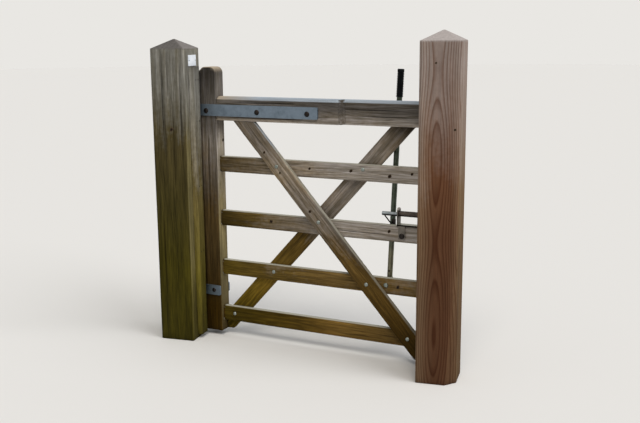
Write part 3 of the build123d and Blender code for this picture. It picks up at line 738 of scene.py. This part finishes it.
# along each rail the tone is partly damp, darkest at the heel end, and partly painted shade at the heel end
# and painted light towards the head end
RAILS = {
    "top_rail": {
        "tone": (0.47, 0.47, 0.46, 0.46, 0.38, 0.44, 0.42, 0.39), "cracks": top_rail_cracks, "low_edge": 2.6,
    },
    "rail_2": {"tone": (0.42, 0.8, 1.15, 1.25, 1.15, 1.25, 1.3, 2.2), "soak": (0.15, 0.0)},
    "rail_3": {
        "tone": (0.15, 0.62, 1.2, 0.92, 1.25, 1.2, 1.05, 1.45), "soak": (0.2, -0.1), "cracks": rail_3_cracks,
    },
    "rail_4": {"tone": (0.75, 1.25, 1.2, 1.1, 1.2, 1.0, 1.3, 1.25), "soak": (0.15, 0.1)},
    "bottom_rail": {"tone": (1.0, 0.7, 0.85, 0.85, 1.5, 1.45, 1.15, 1.1), "soak": (0.2, 0.1)},
}
for index, (rail, look) in enumerate(RAILS.items()):
    log = (0.03 * (-1) ** index, 0.07, 10.0 + 2 * index)
    wear_board(rail, *LEAF, UP, ALONG_LEAF, log, **look)

# each brace's tone is darkest at its top end, under the top rail: painted shade
FRONT_TONE = (0.6, 0.8, 1.45, 1.05, 0.85, 0.85, 1.0, 0.75, 0.5)
REAR_TONE = (0.9, 1.4, 2.2, 1.05, 1.0, 1.05, 0.83, 1.25, 0.3)
# Each brace: how far it climbs a metre, its tone and its soak
BRACES = {
    "front_brace": (-1.14505, FRONT_TONE, (0.1, 0.6)),
    "rear_brace": (1.10765, REAR_TONE, (0.1, 0.3, 0.6, 0.4, 0.3, 0.7)),
}
for index, (brace, (slope, tone, soak)) in enumerate(BRACES.items()):
    run = Vector((1, 0, slope)).normalized()
    side = Vector((run.z, 0, -run.x))
    wear_board(brace, *LEAF, side, run, (0.02, 0.06, 20.0 + 2 * index), tone=tone, soak=soak)

# %% [markdown]
# ## Metal, rubber and plastic
#
# The strap, hooks and latch are galvanised steel. After some years outdoors its bright zinc is a dull
# blue-grey with chalky patches. One grey would look like plastic, so it stays a metal, and crystals, chalk
# and dirt only change its tint.

# %% Galvanised steel
SPANGLE = 14 * MM  # zinc crystals are 5 to 15 mm across
BOLT_STEP = 1.124  # where the latch bolt's thin tail begins


def zinc(name, tone, chalk, dirt, roughness, top=None, changes=()):
    """Hot dip galvanised steel gone dull outdoors. top is the colour painted on upward faces, painted sky
    light.

    Each of changes is (axis, start, end, colour): the finish turns to that colour from start to end.
    """
    material, shader = new_material(name, {"Metallic": 1.0})
    place = add("TexCoord", give="Object")
    spot = add("SeparateXYZ", (place,), None).outputs
    cloud = add("TexNoise", {"Vector": place, "Scale": 22.0, "Detail": 5.0, "Roughness": 0.65})
    crystal = {"Vector": place, "Scale": 1 / SPANGLE}
    crystal = add("SeparateColor", (add("TexVoronoi", crystal, "Color"),))
    colour = blend(ramp(crystal, [(0.0, 0.0), (1.0, 0.35)]), linear(tone), linear(chalk))
    for stops, patch in (([(0.42, 0.0), (0.68, 0.7)], chalk), ([(0.28, 0.8), (0.42, 0.0)], dirt)):
        colour = blend(ramp(cloud, stops), colour, linear(patch))
    shading = ramp(cloud, [(0.35, 0.6), (0.6, 1.0)])
    for axis, start, end, other in changes:
        other = blend(1.0, linear(other), shading, "MULTIPLY")
        amount = add("MapRange", {"Value": spot[axis], "From Min": start, "From Max": end})
        colour = blend(amount, colour, other)
    if top:
        upward = add("SeparateXYZ", (add("NewGeometry", give="Normal"),), "Z")
        colour = blend(ramp(upward, [(0.3, 0.0), (0.9, 1.0)]), colour, linear(top))
    tree.links.new(colour, shader.inputs["Base Color"])

    rough = ramp(cloud, [(0.3, roughness + 0.1), (0.7, roughness - 0.1)])
    tree.links.new(rough, shader.inputs["Roughness"])
    grit = add("TexNoise", {"Vector": place, "Scale": 420.0, "Detail": 2.0})
    grit = add("Bump", {"Height": grit, "Distance": 0.12 * MM, "Strength": 0.6})
    tree.links.new(grit, shader.inputs["Normal"])
    return material


bracket_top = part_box("latch_bracket")[1].z
plate_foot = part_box("rail_3")[1].z  # the bracket's plate lies on rail 3; its front edge is painted near-black, a painted shadow under the plate's overhang
# the strap, hooks and band have paler blue upward faces: painted sky light
dull_zinc = zinc("dull_galvanised_steel", "#6c7985", "#7b8895", "#616c76", 0.5, top="#93a2ae")
lever_zinc = zinc(
    "greened_galvanised_steel", "#3e4438", "#5c645c", "#282c24", 0.5, changes=[("Z", 0.58, 0.5, "#73705d")],
)
bright_zinc = zinc("bright_galvanised_steel", "#7a817c", "#a8afaa", "#4e5249", 0.45)
bolt_steel = zinc(
    "bolt_steel", "#46403c", "#5f564f", "#2a2520", 0.5,
    # the tail is rubbed bright where it slides; below its middle the bolt is painted dark, painted shade and
    # a painted reflection of dark ground
    changes=[("X", BOLT_STEP, BOLT_STEP - MM, "#9aa1a4"), ("Z", 0.7045, 0.6985, "#1d1a13")],
)
bracket_zinc = zinc(
    # its upward faces take a paler top colour: painted sky light
    "latch_bracket_steel", "#54514b", "#6e6a61", "#2f2c28", 0.5, top="#98978b",
    changes=[
        # near-black plate edge: painted shadow under the overhang; below it the tab's own colour
        ("Z", plate_foot + 6.5 * MM, plate_foot + 5.5 * MM, "#14110e"),
        ("Z", plate_foot, plate_foot - MM, "#756f67"),
        # a pale band at the top of the guide plate: painted highlight
        ("Z", bracket_top - 12 * MM, bracket_top - 6 * MM, "#a39996"),
    ],
)
dark_steel = zinc("weathered_dark_steel", "#24211f", "#3a3431", "#171412", 0.4)

# %% [markdown]
# The grip is moulded rubber and the marker a plain white plate. These parts and the metal ones could be
# modelled again, but the CAD has their real edges. A bevel under a millimetre makes those catch the light.

# %% Rubber, plastic and the finish of each node


def mottled(name, sockets, scale, detail, stops):
    """A smooth finish under a little uneven dust or grime."""
    material, shader = new_material(name, sockets)
    place = add("TexCoord", give="Object")
    dust = add("TexNoise", {"Vector": place, "Scale": scale, "Detail": detail})
    tree.links.new(ramp(dust, stops), shader.inputs["Base Color"])
    return material


rubber_look = {"Roughness": 0.55, "IOR": 1.52, "Specular IOR Level": 0.06}
black_rubber = mottled("black_rubber", rubber_look, 60.0, 4.0, [(0.4, "#050607"), (0.75, "#121516")])
plastic_look = {"Roughness": 0.35, "IOR": 1.49}
white_plastic = mottled("white_acrylic", plastic_look, 30.0, 5.0, [(0.35, "#dfe6ee"), (0.6, "#f2f6fb")])

NODE_FINISH = {
    "latch_bracket": bracket_zinc, "pivot_bolt": bright_zinc, "lever_bar": lever_zinc,
    "drive_stud": dark_steel, "latch_bolt": bolt_steel, "lever_grip": black_rubber,
    "marker_plate": white_plastic,
    **dict.fromkeys(("top_hook", "bottom_hook", "top_strap", "bottom_band", "latch_keeper"), dull_zinc),
}
for name, material in NODE_FINISH.items():
    nodes[name].data.materials.clear()
    nodes[name].data.materials.append(material)
    soften = nodes[name].modifiers.new("rolled edges", "BEVEL")
    soften.width = 0.8 * MM
    soften.segments = 2
    soften.limit_method = "ANGLE"
    soften.angle_limit = radians(50)
print("finished", len(NODE_FINISH), "metal, rubber and plastic nodes")

# %% [markdown]
# ## Fastenings
#
# Coach bolts have a low round head, with a washer and a nut behind. They could be put together from spheres
# and cylinders. Lathed from a list of radii and heights, they are closed skins, and a nut is the same thing
# spun in six steps.

# %% Lathe a fastening
HEAD_RISE = 0.38  # of a coach bolt head's radius
NUT_CORNER, NUT_THICK, WASHER = 9.5, 9.0, 13.0  # mm


def square_to(direction):
    """Two directions at right angles to a unit direction and to each other."""
    aside = direction.orthogonal().normalized()
    return aside, direction.cross(aside)


def join_rings(mesh, rings, sides):
    """Makes the faces between each ring of vertices and the next. A ring of one vertex is a tip."""
    for lower, upper in zip(rings, rings[1:]):
        for k in range(sides):
            after = (k + 1) % sides
            corners = [lower[k % len(lower)], lower[after % len(lower)]]
            corners += [upper[after % len(upper)], upper[k % len(upper)]]
            mesh.faces.new(list(dict.fromkeys(corners)))


def lathe(mesh, profile, place, outward, sides=28, twist=0.0):
    """Adds a spun profile of (radius, height) in mm to a mesh, standing at a place and facing outward."""
    outward = Vector(outward).normalized()
    aside, third = square_to(outward)
    angles = [twist + tau * k / sides for k in range(sides)]
    rings = []
    for radius, rise in profile:
        centre = Vector(place) + outward * rise * MM
        ring = [centre + (aside * cos(a) + third * sin(a)) * radius * MM for a in angles]
        rings.append([mesh.verts.new(point) for point in (ring if radius else [centre])])
    join_rings(mesh, rings, sides)


def finish_piece(name, mesh, material, body, smooth=40):
    """Turns a mesh into a named piece with its finish, riding on a body."""
    bmesh.ops.recalc_face_normals(mesh, faces=mesh.faces)
    piece = new_piece(name, mesh, material, smooth)
    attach(piece, body)


def coach_head(radius, rise):
    """The profile of a coach bolt's head, sunk a little into what it holds."""
    curve = [(radius * sin(radians(tilt)), rise * cos(radians(tilt))) for tilt in (20, 40, 60, 76, 90)]
    return [(0, rise)] + curve + [(radius, -0.6), (0, -0.6)]


def nut(corner, thick, washer):
    """The profiles of a washer, of the nut on it and of the bolt's end that stands out of the nut."""
    ring = [(0, 0), (washer, 0), (washer, 1.6), (washer - 0.6, 2.0), (0, 2.0)]
    crest = thick + 1.4
    block = [(0, 2), (corner - 1, 2), (corner, 3), (corner, thick), (corner - 1.4, crest), (0, crest)]
    neck, tip = corner * 0.55, corner * 0.4
    shank = [(0, thick + 1), (neck, thick + 1), (neck, thick + 4.2), (tip, thick + 5), (0, thick + 5)]
    return ring, block, shank


def coach_bolt(name, spot, front, back, head, material, twist=0.3):
    """A coach bolt through the leaf at (x, z), from its front face to its back face."""
    x, z = spot
    mesh = bmesh.new()
    lathe(mesh, coach_head(head, head * HEAD_RISE), (x, front, z), (0, -1, 0))
    ring, block, shank = nut(NUT_CORNER, NUT_THICK, WASHER)
    lathe(mesh, ring, (x, back, z), (0, 1, 0))
    lathe(mesh, block, (x, back, z), (0, 1, 0), sides=6, twist=twist)
    lathe(mesh, shank, (x, back, z), (0, 1, 0), sides=20)
    finish_piece(name, mesh, material, "leaf")


# %% [markdown]
# Bolts in the braces and rails are bright, and those in the strap, band and bracket have gone dark. Their
# depths could be typed in, but are read off the boards that they hold, so that none floats or sinks.

# %% Bolt the leaf together
leaf_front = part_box("front_brace")[0].y
rail_front, rail_back = (corner.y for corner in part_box("rail_2"))
leaf_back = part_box("rear_brace")[1].y
strap_front, strap_back = (corner.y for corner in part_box("top_strap"))
STRAP_HEIGHT = 1.148
BAND_MIDDLE = 25 * MM  # above the band's lower edge

RAIL_BOLTS = {
    "brace_on_rail_2": (0.517, 0.892, leaf_front, rail_back),
    "rail_2_to_rear_brace": (0.955, 0.900, rail_front, leaf_back),
    "braces_on_rail_3": (0.738, 0.639, leaf_front, leaf_back),
    "rail_4_to_rear_brace": (0.479, 0.363, rail_front, leaf_back),
    "brace_on_rail_4": (0.984, 0.363, leaf_front, rail_back),
    "brace_on_bottom_rail": (1.191, 0.125, leaf_front, rail_back),
    "bottom_rail_to_rear_brace": (0.248, 0.118, rail_front, leaf_back),
}
for index, (name, (x, z, front, back)) in enumerate(RAIL_BOLTS.items()):
    coach_bolt("coach_bolt_" + name, (x, z), front, back, 9.5, bright_zinc, twist=0.7 * index)

STRAP_BOLTS = {"heel": 0.135, "middle": 0.420, "tip": 0.687}
for index, (name, x) in enumerate(STRAP_BOLTS.items()):
    spot = (x, STRAP_HEIGHT)
    coach_bolt("strap_bolt_" + name, spot, strap_front, strap_back, 13.0, dark_steel, twist=0.5 * index)
band_spot = (0.150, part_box("bottom_band")[0].z + BAND_MIDDLE)
coach_bolt("band_bolt", band_spot, strap_front, strap_back, 11.0, dark_steel)
tab_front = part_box("latch_bracket")[0].y
coach_bolt("latch_tab_bolt", (1.1505, 0.605), tab_front, rail_back, 13.5, dark_steel, twist=0.2)
print("bolts", len(RAIL_BOLTS) + len(STRAP_BOLTS) + 2)

# %% [markdown]
# The posts stand turned from the leaf, so what is fixed to them is placed in their own directions. Each
# screw could be a piece, but those in one fitting never move apart.

# %% Screw the ironwork to the posts
POST_HALF = POST_WIDTH / 2
POST_BACK = UP.cross(POST_ACROSS)
HOOK_PLATE, KEEPER_PLATE, MARKER_PLATE = 10 * MM, 6 * MM, 3 * MM  # how thick each plate is
BATTEN_FACE = 0.115  # from the middle of the post
PIN_SPOT = (1.0748, 0.1213, 0.425)
HANGING = Vector((0, 0, 0))
SHUTTING = sum((Vector(corner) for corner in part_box("shutting_post")), Vector()) / 2


def on_post(middle, across, height, through):
    """A point given in a post's own directions."""
    return Vector((middle.x, middle.y, height)) + POST_ACROSS * across + POST_BACK * through


def screws(name, spots, outward, radius, sides, material, body="posts"):
    """One piece with the six-sided or round head of a screw at each spot."""
    mesh = bmesh.new()
    profile = [(0, 0), (radius, 0), (radius, radius * 0.5), (radius - 1, radius * 0.7), (0, radius * 0.7)]
    for spot in spots:
        lathe(mesh, profile, spot, outward, sides)
    finish_piece(name, mesh, material, body)


heights = [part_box(hook)[0].z + 30 * MM for hook in ("top_hook", "bottom_hook")]
spots = [on_post(HANGING, across, z, POST_HALF + HOOK_PLATE) for z in heights for across in (0.005, 0.055)]
screws("hook_screws", spots, POST_BACK, 9, 6, dark_steel)

low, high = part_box("latch_keeper")
heights = (low.z + 14 * MM, high.z - 14 * MM)
face = POST_HALF + KEEPER_PLATE
spots = [on_post(SHUTTING, across, z, face) for across in (-0.035, 0.027) for z in heights]
screws("keeper_screws", spots, POST_BACK, 5.5, 20, dark_steel)

low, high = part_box("marker_plate")
middle = (low.z + high.z) / 2
spots = [on_post(HANGING, POST_HALF + MARKER_PLATE, middle, through) for through in (-0.030, 0.038)]
screws("marker_nails", spots, POST_ACROSS, 2.2, 12, dull_zinc)

heights = (0.12, 0.45, 0.78, 1.10, 1.30)
spots = [on_post(HANGING, BATTEN_FACE, z, through) for z in heights for through in (-0.018, 0.010)]
screws("batten_nails", spots, POST_ACROSS, 2.6, 12, dark_steel)

# A pin keeps the lever's round bar in its flat foot
screws("lever_pin", [PIN_SPOT], (0, -1, 0), 4.5, 18, dark_steel, "lever")

# %% [markdown]
# ## Welds
#
# The ironwork is made from flat bar, with a weld bead in some corners. A smooth tube would look like
# sealant. A bead is a row of ripples, about one each 3 mm, laid by hand and never quite even.

# %% Lay the weld beads
WELD_RIPPLE = 3 * MM
STEPS_A_RIPPLE = 4
BEAD_RADIUS = 2.4  # mm
BEAD_SIDES = 10
HINGE_PIN_Y = 0.119


def bead(mesh, start, end):
    """A rippled half-sunk tube from one point to another."""
    run = (end - start).normalized()
    aside, third = square_to(run)
    angles = [k * tau / BEAD_SIDES for k in range(BEAD_SIDES)]
    steps = max(6, round((end - start).length / (WELD_RIPPLE / STEPS_A_RIPPLE)))
    rings = []
    for i in range(steps + 1):
        centre = start.lerp(end, i / steps)
        ripple = abs(sin(pi * i / STEPS_A_RIPPLE))
        bulge = 0.82 + 0.18 * ripple + 0.12 * noise.noise(centre * 300)
        close = min(1.0, 3 * i / steps + 0.3, 3 * (1 - i / steps) + 0.3)
        size = BEAD_RADIUS * MM * bulge * close
        ring = [centre + (aside * cos(a) + third * sin(a)) * size for a in angles]
        rings.append([mesh.verts.new(point) for point in ring])
    join_rings(mesh, rings, BEAD_SIDES)
    mesh.faces.new(rings[0])
    mesh.faces.new(rings[-1][::-1])


def welds(name, runs, material, body):
    """One piece with a bead along each (start, end)."""
    mesh = bmesh.new()
    for start, end in runs:
        bead(mesh, start, end)
    finish_piece(name, mesh, material, body, smooth=80)


runs = []
for hook in ("top_hook", "bottom_hook"):
    corner = on_post(HANGING, 0.0905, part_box(hook)[0].z + 4 * MM, POST_HALF + HOOK_PLATE)
    runs.append((corner, corner + UP * 52 * MM))
welds("hook_welds", runs, dull_zinc, "posts")

runs = []
for strap in ("top_strap", "bottom_band"):
    low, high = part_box(strap)
    for through in (-0.0135, 0.0135):
        corner = Vector((0.0895, HINGE_PIN_Y + through, low.z + 3 * MM))
        runs.append((corner, corner + UP * (high.z - low.z - 6 * MM)))
welds("strap_welds", runs, dull_zinc, "leaf")

low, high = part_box("latch_bracket")
saddle_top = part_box("rail_3")[1].z + 6 * MM
run = [Vector((low.x + 6.5 * MM, y, saddle_top)) for y in (low.y + 2 * MM, high.y - 2 * MM)]
welds("bracket_weld", [run], bracket_zinc, "leaf")
print("welds of", BEAD_RADIUS, "mm in 3 pieces")

# %% [markdown]
# ## Knots
#
# A knot is the foot of a branch, darker and harder than the wood round it, so it stands a hair proud. Noise
# would drop knots anywhere, so these are low domes in listed places. Rusted nail holes look much the same.

# %% Knots and rusted nail holes
KNOT_SIDES = 18
KNOT_RISE = ((1.0, -0.4), (0.92, 0.35), (0.6, 0.7), (0.3, 0.75), (0.0, 0.5))  # share of the radius, mm proud
KNOT_SPREAD = 1.3  # a knot's stain reaches past its radius
KNOT_FLAT = 0.8  # a knot is this much narrower one way

knot_look = {"Roughness": 0.85, "IOR": 1.5, "Specular IOR Level": 0.1}
knot_wood, shader = new_material("knot_wood", knot_look)
radial = add("Attribute", give="Fac", attribute_name="radial")
place = add("TexCoord", give="Object")
rough = add("TexNoise", {"Vector": place, "Scale": 240.0, "Detail": 2.0})
radial = maths("MULTIPLY_ADD", rough, 0.5, radial)
colour = ramp(radial, [(0.35, "#150f0a"), (0.8, "#2a2018"), (1.0, "#4a3d2e")])
tree.links.new(colour, shader.inputs["Base Color"])


def knots(name, body, spots, outward):
    """Low irregular domes on a face: each spot is a point and a radius in mm."""
    outward = Vector(outward).normalized()
    aside, third = square_to(outward)
    mesh = bmesh.new()
    layer = mesh.verts.layers.float.new("radial")
    for place, radius in spots:
        place = Vector(place)
        rings = []
        for share, rise in KNOT_RISE:
            ring = []
            for k in range(KNOT_SIDES if share else 1):
                angle = k * tau / KNOT_SIDES
                wobble = 1 + 0.3 * noise.noise(place * 40 + Vector((cos(angle), sin(angle), 0)))
                reach = KNOT_SPREAD * radius * MM * share * wobble
                turned = aside * cos(angle) + third * sin(angle) * KNOT_FLAT
                ring.append(mesh.verts.new(place + turned * reach + outward * rise * MM))
                ring[-1][layer] = share
            rings.append(ring)
        join_rings(mesh, rings, KNOT_SIDES)
    finish_piece(name, mesh, knot_wood, body, smooth=60)


# Each one's place on its face, and its radius in mm
BRACE_KNOTS = ((0.452, 0.958, 6), (0.537, 0.863, 5), (0.694, 0.687, 7))
RAIL_KNOTS = (
    (0.682, 0.889, 6), (0.896, 0.890, 7), (1.088, 0.877, 8), (1.195, 0.893, 6),
    (0.470, 0.616, 8), (1.087, 0.621, 7), (1.132, 0.361, 8),
)
OLD_POST_KNOTS = ((0.011, 1.065, 9),)
NAIL_HOLES = ((-0.018, 1.393, 4), (0.065, 1.120, 5))

spots = [((x, leaf_front, z), radius) for x, z, radius in BRACE_KNOTS]
spots += [((x, rail_front, z), radius) for x, z, radius in RAIL_KNOTS]
knots("leaf_knots", "leaf", spots, (0, -1, 0))
heel_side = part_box("hanging_stile")[1].x
knots("heel_knot", "leaf", [((heel_side, 0.120, 1.0), 8)], (1, 0, 0))
spots = [(on_post(HANGING, across, z, -POST_HALF), radius) for across, z, radius in OLD_POST_KNOTS]
knots("hanging_post_knots", "posts", spots, -POST_BACK)
spots = [(on_post(SHUTTING, across, z, -POST_HALF), radius) for across, z, radius in NAIL_HOLES]
knots("shutting_post_nail_holes", "posts", spots, -POST_BACK)
print("knots", len(BRACE_KNOTS) + len(RAIL_KNOTS) + 1 + len(OLD_POST_KNOTS), "nail holes", len(NAIL_HOLES))
